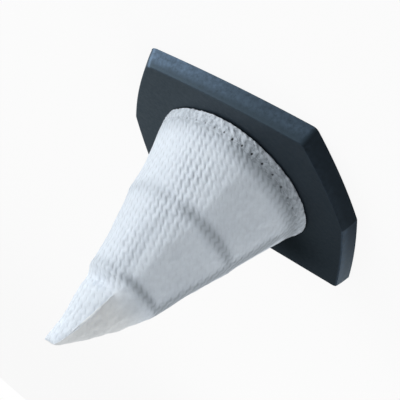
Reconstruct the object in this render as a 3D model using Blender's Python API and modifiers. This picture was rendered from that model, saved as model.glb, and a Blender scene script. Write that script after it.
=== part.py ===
# Conical pre-motor filter of a hand vacuum: a tapered rubber seal flange, a moulded cage held in a
# groove of its throat, and a cloth sleeve stretched over the cage, with an elastic in its turned hem.
# Metres, +Z up. The origin is the centre of the rear sealing face, and the cone points up.

import math

import bmesh
import bpy

# Clearance that touching pieces keep
GAP = 0.0003

# Throat of the seal flange, with the groove that holds the cage's base ring
THROAT_RADIUS = 0.0290
GROOVE_DEPTH = 0.0062
REAR_MOUTH_STEP = 0.0020
REAR_LIP_THICKNESS = 0.0016
BASE_RING_THICKNESS = 0.0016
FRONT_WALL_THICKNESS = 0.0030

# Seal flange: a six-sided front face, the same on both sides of X = 0, with slightly bowed edges.
# The margins run from the groove's wall to the front face's edges.
WAIST_MARGIN = 0.0123
TOP_MARGIN = 0.0055
BOTTOM_MARGIN = 0.0066
WAIST_Y = 0.0030
TOP_INSET = 0.0157
BOTTOM_INSET = 0.0014
TOP_BOW = 0.0011
SHOULDER_BOW = 0.0011
SIDE_BOW = 0.0008
WALL_FLARE = 0.0016
TOP_CORNER_RADIUS = 0.0032
WAIST_CORNER_RADIUS = 0.0012
BOTTOM_CORNER_RADIUS = 0.0020
FLANGE_EDGE_ROUND = 0.0004

# Cage: a collar through the throat, then ribs that carry two rings under the cloth
CAGE_WALL = 0.0018
COLLAR_RISE = 0.0064
BEAD_HEIGHT = 0.0018
BEAD_CHAMFER = 0.0007
LOWER_BAY = 0.0243
UPPER_BAY = 0.0290
RING_HEIGHT = 0.0026
RING_DEPTH = 0.0024
RIB_COUNT = 4
RIB_WIDTH = 0.0024
RIB_DEPTH = 0.0024
RIB_CHAMFER = 0.0004

# Sleeve: the cloth's thickness, its hem round the elastic, and the cone's taut outside
CLOTH_THICKNESS = 0.0009
ELASTIC_RADIUS = 0.00055
HEM_TURN_THICKNESS = 0.0006
HEM_EASE = 0.0003
STITCH_MARGIN = 0.0017
STITCH_PINCH = 0.0003
SLEEVE_END_RADIUS = 0.0141
CONE_LEAN_DEGREES = 5.0
SAG_BETWEEN_RIBS = 0.0011

# Flattened and folded tip of the sleeve
TIP_LENGTH = 0.0272
TIP_SHIFT_X = -0.0070
TIP_SHIFT_Y = 0.0008
TIP_HALF_DEPTH = 0.0042
TIP_HALF_THICKNESS = 0.0016
TIP_FOLD_DEGREES = 72.0
TIP_TWIST_DEGREES = -28.0
TIP_DIP_DEPTH = 0.0012
TIP_DIP_LENGTH = 0.0022
TIP_FLAP_TAPER = 1.1
TIP_BELLY_TAPER = 0.75

# Facets round every turned piece and levels along the sleeve
TURN_STEPS = 60
HEM_ROWS = 5
EDGE_ROWS = 3
BAY_ROWS = 6
TIP_ROWS = 11

# Sizes that follow from those above
GROOVE_RADIUS = THROAT_RADIUS + GROOVE_DEPTH
REAR_MOUTH_RADIUS = THROAT_RADIUS + REAR_MOUTH_STEP
BASE_RING_Z = REAR_LIP_THICKNESS + GAP
GROOVE_TOP_Z = BASE_RING_Z + BASE_RING_THICKNESS + GAP
FACE_Z = GROOVE_TOP_Z + FRONT_WALL_THICKNESS
COLLAR_RADIUS = THROAT_RADIUS - GAP
COLLAR_TOP_Z = FACE_Z + COLLAR_RISE
MIDDLE_RING_Z = COLLAR_TOP_Z + LOWER_BAY
END_RING_Z = MIDDLE_RING_Z + UPPER_BAY
TIP_START_Z = END_RING_Z + 0.5 * RING_HEIGHT
TIP_Z = TIP_START_Z + TIP_LENGTH
HEM_TURN_RADIUS = COLLAR_RADIUS + GAP
ELASTIC_RING_RADIUS = HEM_TURN_RADIUS + HEM_TURN_THICKNESS + GAP + ELASTIC_RADIUS
HEM_RADIUS = ELASTIC_RING_RADIUS + ELASTIC_RADIUS + GAP + CLOTH_THICKNESS + HEM_EASE
HEM_EDGE_Z = FACE_Z + GAP
ELASTIC_Z = HEM_EDGE_Z + HEM_TURN_THICKNESS + GAP + ELASTIC_RADIUS
NEEDLE_Z = ELASTIC_Z + ELASTIC_RADIUS + STITCH_MARGIN
HEM_HEIGHT = NEEDLE_Z - HEM_EDGE_Z


def cone_radius(z):
    """Outside radius of the taut cloth where it lies on a ring or a rib."""
    share = (z - FACE_Z) / (END_RING_Z - FACE_Z)
    return HEM_RADIUS + (SLEEVE_END_RADIUS - HEM_RADIUS) * share


def cage_radius(z):
    """Outside radius that the cage has under the cloth."""
    return cone_radius(z) - CLOTH_THICKNESS - GAP


def lean(z):
    """How far the cone's centre has moved towards the narrow edge at a height."""
    return math.tan(math.radians(CONE_LEAN_DEGREES)) * max(0.0, z - FACE_Z)


def smooth_step(share):
    share = min(1.0, max(0.0, share))
    return share * share * (3.0 - 2.0 * share)


# Collections and materials

def new_collection(name):
    collection = bpy.data.collections.new(name)
    bpy.context.scene.collection.children.link(collection)
    return collection


def new_material(name, colour, roughness):
    material = bpy.data.materials.new(name)
    material.use_nodes = True
    shader = material.node_tree.nodes["Principled BSDF"]
    shader.inputs["Base Color"].default_value = (*colour, 1.0)
    shader.inputs["Roughness"].default_value = roughness
    shader.inputs["Metallic"].default_value = 0.0
    material.diffuse_color = (*colour, 1.0)
    return material


def new_object(name, mesh, collection, material=None):
    piece = bpy.data.objects.new(name, mesh)
    collection.objects.link(piece)
    if material:
        mesh.materials.append(material)
    return piece


def mark_cutter(piece):
    piece.hide_render = True
    piece.display_type = "WIRE"


def mesh_from(name, build):
    mesh = bpy.data.meshes.new(name)
    form = bmesh.new()
    build(form)
    form.to_mesh(mesh)
    form.free()
    return mesh


def shade(piece):
    piece.data.shade_smooth()
    piece.data.set_sharp_from_angle(angle=math.radians(35.0))


def add_boolean(piece, other, operation):
    boolean = piece.modifiers.new(operation.title(), "BOOLEAN")
    boolean.object = other
    boolean.operation = operation
    boolean.solver = "EXACT"


def turned(name, profile, collection, material=None, closed=True):
    """A profile of (radius, z) points, run down its outer side, turned about Z."""
    mesh = bpy.data.meshes.new(name)
    points = [(radius, 0.0, z) for radius, z in profile]
    edges = [(i, i + 1) for i in range(len(points) - 1)]
    if closed:
        edges.append((len(points) - 1, 0))
    mesh.from_pydata(points, edges, [])
    piece = new_object(name, mesh, collection, material)
    screw = piece.modifiers.new("Turn", "SCREW")
    screw.steps = TURN_STEPS
    screw.render_steps = TURN_STEPS
    screw.use_merge_vertices = True
    screw.merge_threshold = 0.00001
    screw.use_normal_calculate = False
    return piece


def applied(piece):
    """The object's evaluated mesh, put on the object in place of its modifiers."""
    graph = bpy.context.evaluated_depsgraph_get()
    mesh = bpy.data.meshes.new_from_object(piece.evaluated_get(graph))
    piece.modifiers.clear()
    piece.data = mesh
    return piece


def lean_mesh(piece):
    """Shift each level of a piece that stands above the flange along the cone's leaning axis."""
    for vertex in piece.data.vertices:
        vertex.co.y += lean(vertex.co.z)


# Seal flange

def crossing(first, second):
    """Where two lines cross, each given as a point and a direction."""
    (px, py), (dx, dy) = first
    (qx, qy), (ex, ey) = second
    along = ((qx - px) * ey - (qy - py) * ex) / (dx * ey - dy * ex)
    return (px + dx * along, py + dy * along)


def offset_corners(corners, distance):
    """The corners of a counterclockwise outline whose edges have all moved out by a distance."""
    lines = []
    for start, end in zip(corners, corners[1:] + corners[:1]):
        dx, dy = end[0] - start[0], end[1] - start[1]
        length = math.hypot(dx, dy)
        dx, dy = dx / length, dy / length
        lines.append(((start[0] + dy * distance, start[1] - dx * distance), (dx, dy)))
    return [crossing(lines[i - 1], lines[i]) for i in range(len(corners))]


def bowed_edge(start, end, bow, share):
    """Point and direction at a share of a shallow arc that bows out of a counterclockwise outline."""
    dx, dy = end[0] - start[0], end[1] - start[1]
    length = math.hypot(dx, dy)
    out = 4.0 * bow * share * (1.0 - share)
    point = (start[0] + dx * share + dy / length * out, start[1] + dy * share - dx / length * out)
    turn = 4.0 * bow * (1.0 - 2.0 * share) / length
    direction = (dx / length + dy / length * turn, dy / length - dx / length * turn)
    return point, direction


def rounded_corner(before, after, steps):
    """Points of a curve that leaves one edge and joins the next, in line with both."""
    bend = (before[0], crossing(before, after), after[0])
    points = []
    for i in range(steps + 1):
        t = i / steps
        weights = ((1.0 - t) ** 2, 2.0 * t * (1.0 - t), t * t)
        points.append(tuple(sum(w * c[k] for w, c in zip(weights, bend)) for k in (0, 1)))
    return points


def flange_outline(offset):
    waist = GROOVE_RADIUS + WAIST_MARGIN
    top_y, bottom_y = GROOVE_RADIUS + TOP_MARGIN, -GROOVE_RADIUS - BOTTOM_MARGIN
    right_side = [(waist - BOTTOM_INSET, bottom_y), (waist, WAIST_Y), (waist - TOP_INSET, top_y)]
    left_side = [(-x, y) for x, y in reversed(right_side)]
    corners = offset_corners(right_side + left_side, offset)
    bows = [SIDE_BOW, SHOULDER_BOW, TOP_BOW, SHOULDER_BOW, SIDE_BOW, 0.0]
    radii = [BOTTOM_CORNER_RADIUS, WAIST_CORNER_RADIUS, TOP_CORNER_RADIUS]
    radii += reversed(radii)
    count = len(corners)
    trims = []
    for i in range(count):
        start, corner, end = corners[i - 1], corners[i], corners[(i + 1) % count]
        first = math.atan2(corner[1] - start[1], corner[0] - start[0])
        second = math.atan2(end[1] - corner[1], end[0] - corner[0])
        turn = (second - first) % (2.0 * math.pi)
        trims.append(radii[i] * math.tan(turn / 2.0))
    outline = []
    for i in range(count):
        start, end = corners[i], corners[(i + 1) % count]
        following = corners[(i + 2) % count]
        length = math.dist(start, end)
        next_length = math.dist(end, following)
        first_share = trims[i] / length
        last_share = 1.0 - trims[(i + 1) % count] / length
        inner_steps = 6 if bows[i] else 1
        for step in range(1, inner_steps):
            share = first_share + (last_share - first_share) * step / inner_steps
            outline.append(bowed_edge(start, end, bows[i], share)[0])
        before = bowed_edge(start, end, bows[i], last_share)
        next_share = trims[(i + 1) % count] / next_length
        after = bowed_edge(end, following, bows[(i + 1) % count], next_share)
        outline += rounded_corner(before, after, 5)
    return outline


def build_seal_flange(parts, cutters, rubber):
    rear, front = flange_outline(WALL_FLARE), flange_outline(0.0)

    def loft(form):
        lower = [form.verts.new((x, y, 0.0)) for x, y in rear]
        upper = [form.verts.new((x, y, FACE_Z)) for x, y in front]
        form.faces.new(list(reversed(lower)))
        form.faces.new(upper)
        for i in range(len(lower)):
            form.faces.new((lower[i - 1], lower[i], upper[i], upper[i - 1]))

    flange = new_object("seal_flange", mesh_from("seal_flange", loft), parts, rubber)
    bevel = flange.modifiers.new("Edge round", "BEVEL")
    bevel.width = FLANGE_EDGE_ROUND
    bevel.segments = 2
    bevel.limit_method = "ANGLE"
    bevel.angle_limit = math.radians(50.0)
    beyond = 2.0 * GAP
    throat = turned("throat_cutter", [
        (0.0, FACE_Z + beyond), (THROAT_RADIUS, FACE_Z + beyond), (THROAT_RADIUS, GROOVE_TOP_Z),
        (GROOVE_RADIUS, GROOVE_TOP_Z), (GROOVE_RADIUS, REAR_LIP_THICKNESS),
        (REAR_MOUTH_RADIUS, REAR_LIP_THICKNESS), (REAR_MOUTH_RADIUS, -beyond), (0.0, -beyond),
    ], cutters, closed=False)
    mark_cutter(throat)
    add_boolean(flange, throat, "DIFFERENCE")
    shade(applied(flange))


# Cage

def collar_profile():
    bead_z = COLLAR_TOP_Z - BEAD_HEIGHT
    bead_radius = cage_radius(COLLAR_TOP_Z)
    bead_drop = bead_radius - COLLAR_RADIUS
    inner = COLLAR_RADIUS - CAGE_WALL
    ring_radius = GROOVE_RADIUS - GAP
    ring_top = BASE_RING_Z + BASE_RING_THICKNESS
    return [
        (bead_radius - BEAD_CHAMFER, COLLAR_TOP_Z), (bead_radius, COLLAR_TOP_Z - BEAD_CHAMFER),
        (bead_radius, bead_z), (COLLAR_RADIUS, bead_z - bead_drop), (COLLAR_RADIUS, ring_top),
        (ring_radius, ring_top), (ring_radius, BASE_RING_Z), (inner, BASE_RING_Z), (inner, COLLAR_TOP_Z),
    ]


def ring_profile(z):
    """Rounded section of a cage ring whose crown carries the cloth."""
    radius = cage_radius(z)
    half = 0.5 * RING_HEIGHT
    points = []
    for i in range(10):
        angle = 0.5 * math.pi - 2.0 * math.pi * i / 10
        across = 0.5 * RING_DEPTH * math.copysign(abs(math.cos(angle)) ** 0.7, math.cos(angle))
        points.append((radius - 0.5 * RING_DEPTH + across, z + half * math.sin(angle)))
    return points


def build_rib(index, cutters):
    """A straight bar along the cone, from inside the collar's bead to inside the end ring."""
    low, high = COLLAR_TOP_Z - BEAD_HEIGHT, END_RING_Z + 0.3 * RING_HEIGHT
    angle = 2.0 * math.pi * index / RIB_COUNT

    def bar(form):
        bmesh.ops.create_cube(form, size=1.0)
        for vertex in form.verts:
            z = low if vertex.co.z < 0.0 else high
            outer = cage_radius(z) - GAP
            radius = outer if vertex.co.x > 0.0 else outer - RIB_DEPTH
            across = vertex.co.y * RIB_WIDTH
            vertex.co = (radius * math.cos(angle) - across * math.sin(angle),
                         radius * math.sin(angle) + across * math.cos(angle), z)
        edges = [edge for edge in form.edges if abs(edge.verts[0].co.z - edge.verts[1].co.z) > RIB_WIDTH]
        bmesh.ops.bevel(form, geom=edges, offset=RIB_CHAMFER, segments=1, affect="EDGES")

    rib = new_object("rib_%d" % index, mesh_from("rib_%d" % index, bar), cutters)
    mark_cutter(rib)
    return rib


def build_cage_frame(parts, cutters, plastic):
    cage = turned("cage_frame", collar_profile(), parts, plastic)
    joined = []
    for name, z in (("middle_ring", MIDDLE_RING_Z), ("end_ring", END_RING_Z)):
        ring = turned(name, ring_profile(z), cutters)
        mark_cutter(ring)
        joined.append(ring)
    joined += [build_rib(index, cutters) for index in range(RIB_COUNT)]
    for other in joined:
        add_boolean(cage, other, "UNION")
    applied(cage)
    lean_mesh(cage)
    shade(cage)


# Sleeve

def bay_sag(z, angle):
    """How far the taut cloth lies inside the cone between two ribs and two rings."""
    for low, high in ((COLLAR_TOP_Z, MIDDLE_RING_Z), (MIDDLE_RING_Z, END_RING_Z)):
        if low < z < high:
            along = math.sin(math.pi * (z - low) / (high - low)) ** 0.8
            round_it = math.sin(0.5 * RIB_COUNT * angle) ** 2
            return SAG_BETWEEN_RIBS * along * round_it
    return 0.0


def hem_radius(z):
    """Outside radius of the hem, which bulges over the elastic and is pinched by its stitches."""
    pinch = STITCH_PINCH * math.exp(-((z - NEEDLE_Z) / (0.25 * HEM_HEIGHT)) ** 2)
    held = max(z, HEM_EDGE_Z + 0.55 * HEM_HEIGHT)
    share = smooth_step((z - HEM_EDGE_Z) / HEM_HEIGHT - 0.35)
    return HEM_RADIUS + (cone_radius(held) - HEM_RADIUS) * share - pinch


def round_row(radius_at, z):
    """One level of the cloth about the leaning axis, from a radius that may change with the angle."""
    angles = [2.0 * math.pi * i / TURN_STEPS for i in range(TURN_STEPS)]
    return [(radius_at(angle) * math.cos(angle), radius_at(angle) * math.sin(angle) + lean(z), z)
            for angle in angles]


def hem_row(z, inset):
    return round_row(lambda angle: hem_radius(z) - inset, z)


def cone_row(z, inset):
    return round_row(lambda angle: cone_radius(z) - bay_sag(z, angle) - inset, z)


def tip_row(z, inset):
    """One level of the tip: a circle above the end ring that flattens to a lens with two sharp folds."""
    share = (z - TIP_START_Z) / (TIP_Z - TIP_START_Z)
    start_radius = cone_radius(TIP_START_Z)
    fold = math.radians(TIP_FOLD_DEGREES + TIP_TWIST_DEGREES * share)
    depth = TIP_HALF_DEPTH + (start_radius - TIP_HALF_DEPTH) * (1.0 - share) ** 0.9
    lens_power = 1.0 + 0.9 * smooth_step(1.6 * share)
    centre_x = TIP_SHIFT_X * share ** 1.2
    centre_y = lean(z) + TIP_SHIFT_Y * share
    dip_place = (z - TIP_START_Z - 1.3 * TIP_DIP_LENGTH) / TIP_DIP_LENGTH
    points = []
    for i in range(TURN_STEPS):
        angle = 2.0 * math.pi * i / TURN_STEPS - fold
        side = math.sin(angle)
        dip = TIP_DIP_DEPTH * math.exp(-dip_place ** 2) * smooth_step(0.5 + 0.8 * side)
        taper = TIP_FLAP_TAPER if side > 0.0 else TIP_BELLY_TAPER
        thickness = TIP_HALF_THICKNESS + (start_radius - TIP_HALF_THICKNESS) * (1.0 - share) ** taper
        u = (depth - inset - dip) * math.cos(angle)
        v = (thickness - inset - dip) * math.copysign(abs(side) ** lens_power, side)
        points.append((centre_x + u * math.cos(fold) - v * math.sin(fold),
                       centre_y + u * math.sin(fold) + v * math.cos(fold), z))
    return points


def levels(low, high, rows):
    """Heights that climb from above the low one to the high one in even steps."""
    return [low + (high - low) * (i + 1) / rows for i in range(rows)]


def sleeve_rows():
    """The cloth's levels in one run: up the hem's inner turn, round its edge, up outside, down inside."""
    turn_outside = HEM_TURN_RADIUS + HEM_TURN_THICKNESS
    turn_top = NEEDLE_Z - GAP
    turn_floor = HEM_EDGE_Z + HEM_TURN_THICKNESS
    edge_round = 0.5 * HEM_TURN_THICKNESS
    hem = levels(HEM_EDGE_Z, NEEDLE_Z, HEM_ROWS)
    cone = levels(NEEDLE_Z, COLLAR_TOP_Z, EDGE_ROWS) + levels(COLLAR_TOP_Z, MIDDLE_RING_Z, BAY_ROWS)
    cone += levels(MIDDLE_RING_Z, END_RING_Z, BAY_ROWS) + [TIP_START_Z]
    tip = levels(TIP_START_Z, TIP_Z, TIP_ROWS)
    hollow = [z for z in tip if z < TIP_Z - 6.0 * CLOTH_THICKNESS]

    rows = [round_row(lambda angle: HEM_TURN_RADIUS, turn_top),
            round_row(lambda angle: HEM_TURN_RADIUS, HEM_EDGE_Z + edge_round),
            round_row(lambda angle: HEM_TURN_RADIUS + edge_round, HEM_EDGE_Z),
            hem_row(HEM_EDGE_Z, edge_round)]
    rows += [hem_row(z, 0.0) for z in hem]
    rows += [cone_row(z, 0.0) for z in cone]
    rows += [tip_row(z, 0.0) for z in tip]
    rows += [tip_row(z, CLOTH_THICKNESS) for z in reversed(hollow)]
    rows += [cone_row(z, CLOTH_THICKNESS) for z in reversed(cone)]
    rows += [hem_row(z, CLOTH_THICKNESS) for z in reversed(hem[1:])]
    rows += [hem_row(turn_floor, CLOTH_THICKNESS),
             round_row(lambda angle: turn_outside, turn_floor),
             round_row(lambda angle: turn_outside, turn_top)]
    return rows


def build_filter_sleeve(parts, cloth):
    def loft(form):
        rows = [[form.verts.new(point) for point in row] for row in sleeve_rows()]
        heights = [row[0].co.z for row in rows]
        last_outside = heights.index(max(heights))
        for index, row in enumerate(rows):
            following = rows[(index + 1) % len(rows)]
            if index == last_outside:
                form.faces.new(row)
                form.faces.new(list(reversed(following)))
                continue
            for i in range(TURN_STEPS):
                form.faces.new((row[i - 1], row[i], following[i], following[i - 1]))

    sleeve = new_object("filter_sleeve", mesh_from("filter_sleeve", loft), parts, cloth)
    shade(sleeve)


def build_hem_elastic(parts, cloth):
    """Elastic ring in the hem's channel, clear of the cloth by the gap all round."""
    bpy.ops.mesh.primitive_torus_add(
        major_segments=TURN_STEPS, minor_segments=8, major_radius=ELASTIC_RING_RADIUS,
        minor_radius=ELASTIC_RADIUS, location=(0.0, lean(ELASTIC_Z), ELASTIC_Z))
    elastic = bpy.context.object
    elastic.name = "hem_elastic"
    elastic.data.name = "hem_elastic"
    for collection in elastic.users_collection:
        collection.objects.unlink(elastic)
    parts.objects.link(elastic)
    elastic.data.materials.append(cloth)
    shade(elastic)


def main():
    for old in list(bpy.data.objects):
        bpy.data.objects.remove(old, do_unlink=True)
    parts = new_collection("pre_motor_filter")
    cutters = new_collection("cutters")
    rubber = new_material("seal_rubber", (0.045, 0.056, 0.068), 0.6)
    plastic = new_material("cage_plastic", (0.05, 0.055, 0.06), 0.45)
    cloth = new_material("filter_cloth", (0.80, 0.84, 0.88), 0.9)
    elastic = new_material("hem_elastic", (0.82, 0.83, 0.84), 0.8)
    build_seal_flange(parts, cutters, rubber)
    build_cage_frame(parts, cutters, plastic)
    build_filter_sleeve(parts, cloth)
    build_hem_elastic(parts, elastic)


main()
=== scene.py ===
import math

import bpy
import numpy as np
from mathutils import Matrix, Vector


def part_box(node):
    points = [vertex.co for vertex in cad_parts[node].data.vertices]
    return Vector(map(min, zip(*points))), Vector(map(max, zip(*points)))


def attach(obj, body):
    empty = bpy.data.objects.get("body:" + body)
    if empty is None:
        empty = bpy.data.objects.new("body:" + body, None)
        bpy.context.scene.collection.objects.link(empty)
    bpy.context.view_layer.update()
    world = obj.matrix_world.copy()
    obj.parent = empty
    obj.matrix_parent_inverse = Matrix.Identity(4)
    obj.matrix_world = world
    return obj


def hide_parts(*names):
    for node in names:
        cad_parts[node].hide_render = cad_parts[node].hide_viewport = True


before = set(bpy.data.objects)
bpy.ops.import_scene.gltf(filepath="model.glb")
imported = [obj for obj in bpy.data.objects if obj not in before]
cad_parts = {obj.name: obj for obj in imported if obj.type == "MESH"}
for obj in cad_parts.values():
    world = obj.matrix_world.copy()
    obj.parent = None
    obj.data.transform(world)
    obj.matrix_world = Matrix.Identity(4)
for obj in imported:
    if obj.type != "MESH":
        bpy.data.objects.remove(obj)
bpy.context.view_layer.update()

print("Frame loaded: flange, cage, sleeve and hem elastic")

# Heights and sizes that the pieces share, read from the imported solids
flangeLow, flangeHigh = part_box("seal_flange")
sleeveLow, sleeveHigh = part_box("filter_sleeve")
elasticLow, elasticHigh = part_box("hem_elastic")
faceZ = flangeHigh.z
hemRadius = sleeveHigh.x
hemEdgeZ = sleeveLow.z
tipZ = sleeveHigh.z


# Small tools for arrays and meshes

def smoothStep(share):
    # Eases from 0 to 1 with level ends
    share = np.clip(share, 0.0, 1.0)
    return share * share * (3.0 - 2.0 * share)


def rise(value, start, length):
    # Eases from 0 at the start to 1 a length further on; a length below 0 turns it round
    return smoothStep((value - start) / length)


def bump(distance, width):
    # A bell of height 1 that falls off over the width
    return np.exp(-(distance / width) ** 2)


def turnBetween(angle, other):
    # The signed turn from one angle to another, between minus and plus half a turn
    return (angle - other + np.pi) % (2.0 * np.pi) - np.pi


def fullTurn(count):
    # Even angles round a whole turn
    return 2.0 * np.pi * np.arange(count) / count


def unit(vectors):
    # Vectors brought to length 1
    return vectors / np.maximum(np.linalg.norm(vectors, axis=-1, keepdims=True), 1e-12)


def softWaves(across, along, size, seed, count=8):
    # Cloudy unevenness: a seeded sum of sine waves of about the given size, in all directions
    draw = np.random.default_rng(seed)
    heading = draw.uniform(0.0, 2.0 * np.pi, count)
    start = draw.uniform(0.0, 2.0 * np.pi, count)
    rate = 2.0 * np.pi * draw.uniform(0.6, 1.4, count) / size
    total = 0.0
    for turn, phase, speed in zip(heading, start, rate):
        total = total + np.sin(speed * (across * math.cos(turn) + along * math.sin(turn)) + phase)
    return total / math.sqrt(count)


def gridFaces(rows, columns, closedRows=False):
    # Quads between neighbouring rows of a grid whose columns close on themselves
    index = np.arange(rows * columns).reshape(rows, columns)
    upper = np.roll(index, -1, axis=0) if closedRows else index[1:]
    lower = index if closedRows else index[:-1]
    corners = (lower, np.roll(lower, -1, axis=1), np.roll(upper, -1, axis=1), upper)
    return np.stack(corners, axis=-1).reshape(-1, 4)


def gridNormals(points):
    # Unit normals of a grid, from the cross product of its two directions
    around = np.roll(points, -1, axis=1) - np.roll(points, 1, axis=1)
    return unit(np.cross(around, np.gradient(points, axis=0)))


def meshFrom(name, points, faces):
    # A mesh of flat arrays: points, then faces that all have the same number of corners
    points = np.asarray(points, dtype=np.float32).reshape(-1, 3)
    faces = np.asarray(faces, dtype=np.int32)
    sides = faces.shape[1]
    mesh = bpy.data.meshes.new(name)
    mesh.vertices.add(len(points))
    mesh.vertices.foreach_set("co", points.ravel())
    mesh.loops.add(faces.size)
    mesh.loops.foreach_set("vertex_index", faces.ravel())
    mesh.polygons.add(len(faces))
    mesh.polygons.foreach_set("loop_start", np.arange(0, faces.size, sides, dtype=np.int32))
    mesh.update(calc_edges=True)
    mesh.validate()
    mesh.shade_smooth()
    return mesh


def addObject(name, data):
    made = bpy.data.objects.new(name, data)
    bpy.context.scene.collection.objects.link(made)
    return made


def addPiece(name, mesh, material):
    # An object that rides on the part, with the given material
    piece = addObject(name, mesh)
    mesh.materials.append(material)
    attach(piece, "root")
    return piece


def addValues(mesh, name, values):
    # One number for each point, for a material to read
    layer = mesh.attributes.new(name, "FLOAT", "POINT")
    layer.data.foreach_set("value", np.asarray(values, dtype=np.float32).ravel())


# Shader tools

def feed(tree, node, links):
    # Gives a node its inputs, as values or as sockets to link
    for name, value in links.items():
        if isinstance(value, bpy.types.NodeSocket):
            tree.links.new(value, node.inputs[name])
        else:
            node.inputs[name].default_value = value


def put(tree, kind, links=None, **settings):
    # A node with its settings and its inputs
    made = tree.nodes.new(kind)
    made.location = (220.0 * len(tree.nodes), 0.0)
    for name, value in settings.items():
        setattr(made, name, value)
    feed(tree, made, links or {})
    return made


def math2(tree, operation, first, second=0.0):
    return put(tree, "ShaderNodeMath", {0: first, 1: second}, operation=operation).outputs[0]


def times(tree, first, second):
    return math2(tree, "MULTIPLY", first, second)


def less(tree, first, second):
    return math2(tree, "SUBTRACT", first, second)


def unitWave(tree, cycles):
    # A cosine between 0 and 1 that starts at 1
    wave = math2(tree, "COSINE", times(tree, cycles, 2.0 * math.pi))
    return put(tree, "ShaderNodeMath", {0: wave, 1: 0.5, 2: 0.5}, operation="MULTIPLY_ADD").outputs[0]


def mapRange(tree, value, low, high, toLow=0.0, toHigh=1.0):
    # Carries a value from one range to another, held at both ends
    links = {"Value": value, "From Min": low, "From Max": high, "To Min": toLow, "To Max": toHigh}
    return put(tree, "ShaderNodeMapRange", links).outputs[0]


def noise(tree, place, rate, detail, roughness=0.5, distortion=0.0):
    return put(tree, "ShaderNodeTexNoise", {
        "Vector": place, "Scale": rate, "Detail": detail, "Roughness": roughness, "Distortion": distortion,
    }).outputs["Fac"]


def surfaceBump(tree, height, size, under=None):
    # A bump of a strength and a distance, which may lie over another one
    links = {"Height": height, "Strength": size[0], "Distance": size[1]}
    if under is not None:
        links["Normal"] = under
    return put(tree, "ShaderNodeBump", links).outputs[0]


def blendColour(tree, share, first, second, kind="MIX"):
    links = {0: share, 6: first, 7: second}
    return put(tree, "ShaderNodeMix", links, data_type="RGBA", blend_type=kind).outputs[2]


def blendNumber(tree, share, first, second):
    return put(tree, "ShaderNodeMix", {0: share, 2: first, 3: second}).outputs[0]


def newGroup(name, place, numbers, results):
    # A node group that takes a place and numbers, and gives numbers
    tree = bpy.data.node_groups.new(name, "ShaderNodeTree")
    tree.interface.new_socket(name=place, in_out="INPUT", socket_type="NodeSocketVector")
    for labels, side in ((numbers, "INPUT"), (results, "OUTPUT")):
        for label in labels:
            tree.interface.new_socket(name=label, in_out=side, socket_type="NodeSocketFloat")
    return tree, tree.nodes.new("NodeGroupInput"), tree.nodes.new("NodeGroupOutput")


def placeGroup(tree, group, links):
    return put(tree, "ShaderNodeGroup", links, node_tree=group)


def newMaterial(name):
    made = bpy.data.materials.new(name)
    made.use_nodes = True
    return made, made.node_tree, made.node_tree.nodes["Principled BSDF"]


def attribute(tree, name):
    return put(tree, "ShaderNodeAttribute", attribute_name=name).outputs["Fac"]


def objectPlace(tree):
    return put(tree, "ShaderNodeTexCoord").outputs["Object"]


# The cloth's zigzag: rates of its wales and courses in the flat cloth, and the shape of its cells
zigzag = {
    "waleRate": (420.0, 80.0),      # cycles for each metre across and along the flat cloth
    "courseRate": (110.0, 400.0),
    "strokeShare": 0.58,            # share of a course that the long stroke takes
    "swing": 0.34,                  # sideways swing, as a share of the wales' pitch
    "narrowness": 2.3,              # higher makes the grooves between the wales narrower
    "shallowest": 0.58,             # the groove's depth where one stroke meets the next
    "dome": 0.50,                   # height of the pillow in each cell, as a share of the groove's depth
    "waist": 0.22,                  # depth between one pillow and the next in a wale
    "waistPower": 3.0,              # higher makes that waist shorter
    "depth": 0.00020,
}


def zigzagCells(across, along):
    # Grooves of cosine wales, whose line swings by a lopsided triangle wave and which are deepest beside the
    # pillow in each cell, and a shallow waist between one pillow and the next
    wale = zigzag["waleRate"][0] * across + zigzag["waleRate"][1] * along
    course = (-(zigzag["courseRate"][0] * across + zigzag["courseRate"][1] * along)) % 1.0
    stroke, shallow = zigzag["strokeShare"], zigzag["shallowest"]
    swing = zigzag["swing"] * np.minimum(course / stroke, (1.0 - course) / (1.0 - stroke))
    ridge = 0.5 + 0.5 * np.cos(2.0 * np.pi * (wale - swing))
    middle = 0.5 + 0.5 * np.cos(2.0 * np.pi * (course - 0.5 * stroke))
    groove = (1.0 - ridge) ** zigzag["narrowness"] * (shallow + (1.0 - shallow) * middle)
    waist = zigzag["waist"] * (1.0 - middle) ** zigzag["waistPower"]
    return ridge * (zigzag["dome"] * middle - waist) - groove


def buildZigzagGroup():
    # The same cells as a shader: their height, and 1 in the grooves
    tree, given, result = newGroup("zigzagCells", "Flat place", [], ["Height", "Groove"])
    stroke, flat = zigzag["strokeShare"], given.outputs[0]
    wale, course = (
        put(tree, "ShaderNodeVectorMath", {0: flat, 1: (*zigzag[rate], 0.0)}, operation="DOT_PRODUCT")
        .outputs["Value"] for rate in ("waleRate", "courseRate"))
    course = math2(tree, "FRACT", times(tree, course, -1.0))
    rising = math2(tree, "DIVIDE", course, stroke)
    falling = math2(tree, "DIVIDE", less(tree, 1.0, course), 1.0 - stroke)
    swing = times(tree, math2(tree, "MINIMUM", rising, falling), zigzag["swing"])
    ridge = unitWave(tree, less(tree, wale, swing))
    middle = unitWave(tree, less(tree, course, 0.5 * stroke))
    narrow = math2(tree, "POWER", less(tree, 1.0, ridge), zigzag["narrowness"])
    groove = times(tree, narrow, mapRange(tree, middle, 0.0, 1.0, zigzag["shallowest"]))
    between = math2(tree, "POWER", less(tree, 1.0, middle), zigzag["waistPower"])
    pillow = less(tree, times(tree, middle, zigzag["dome"]), times(tree, between, zigzag["waist"]))
    feed(tree, result, {"Height": less(tree, times(tree, pillow, ridge), groove), "Groove": groove})
    return tree


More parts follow.
